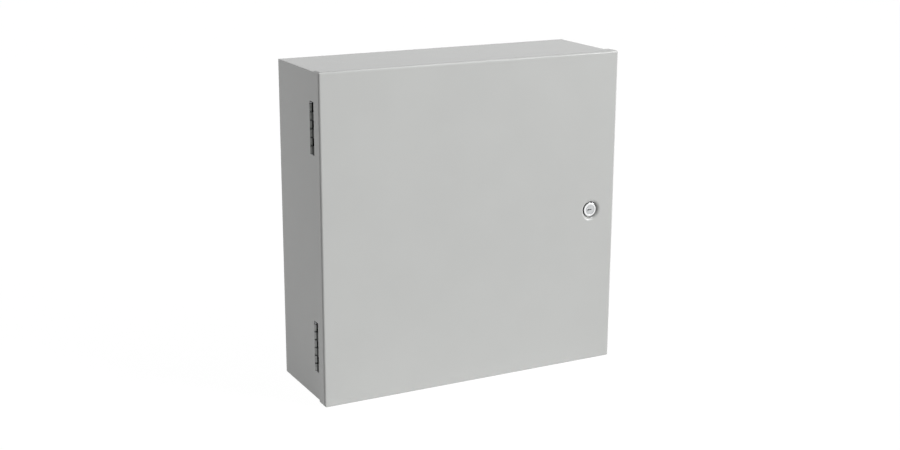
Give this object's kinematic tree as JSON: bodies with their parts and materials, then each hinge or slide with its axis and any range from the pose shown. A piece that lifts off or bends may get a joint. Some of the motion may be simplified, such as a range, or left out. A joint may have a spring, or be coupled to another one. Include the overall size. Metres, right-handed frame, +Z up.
{
  "type": "steel wall enclosure",
  "caption": "Square folded-steel wall enclosure with an overlapping hinged door, a recessed quarter-turn key lock, barrel hinges and an inner mounting panel.",
  "frame": {"origin": "middle of the body's back face, which lies on the wall and is the middle of the four wall holes", "axes": "+X to the right seen from the front, +Z up, +Y into the wall, so the door faces -Y"},
  "size_m": [0.514, 0.168, 0.5134],
  "materials": {
    "grey_paint": "light grey powder coat, satin",
    "zinc_plate": "bright zinc plate",
    "galvanised_sheet": "galvanised sheet",
    "hinge_steel": "dull plain steel",
    "lock_chrome": "bright chrome plate"
  },
  "bodies": {
    "enclosure": {"enclosure_body": "grey_paint", "panel_studs": "zinc_plate", "mounting_panel": "galvanised_sheet", "panel_washers": "zinc_plate", "panel_nuts": "zinc_plate", "ground_stud": "zinc_plate", "ground_washer": "zinc_plate", "ground_nut": "zinc_plate", "hinge_body_leaf_upper": "hinge_steel", "hinge_body_leaf_lower": "hinge_steel", "hinge_pin_upper": "hinge_steel", "hinge_pin_lower": "hinge_steel"},
    "door": {"door_panel": "grey_paint", "hinge_door_leaf_upper": "hinge_steel", "hinge_door_leaf_lower": "hinge_steel", "door_bond_stud": "zinc_plate", "door_bond_washer": "zinc_plate", "door_bond_nut": "zinc_plate", "lock_housing": "lock_chrome", "lock_washer": "zinc_plate", "lock_nut": "zinc_plate"},
    "lock": {"lock_plug": "lock_chrome", "lock_cam": "zinc_plate", "cam_washer": "zinc_plate", "cam_screw": "zinc_plate"}
  },
  "joints": [
    {"name": "door_swing", "type": "hinge", "parent": "enclosure", "child": "door", "pos_m": [-0.25415, -0.1331, 0], "axis": [0, 0, 1], "range_deg": [-165, 0]},
    {"name": "lock_turn", "type": "hinge", "parent": "door", "child": "lock", "pos_m": [0.2135, -0.168, 0], "axis": [0, -1, 0], "range_deg": [0, 90]}
  ]
}
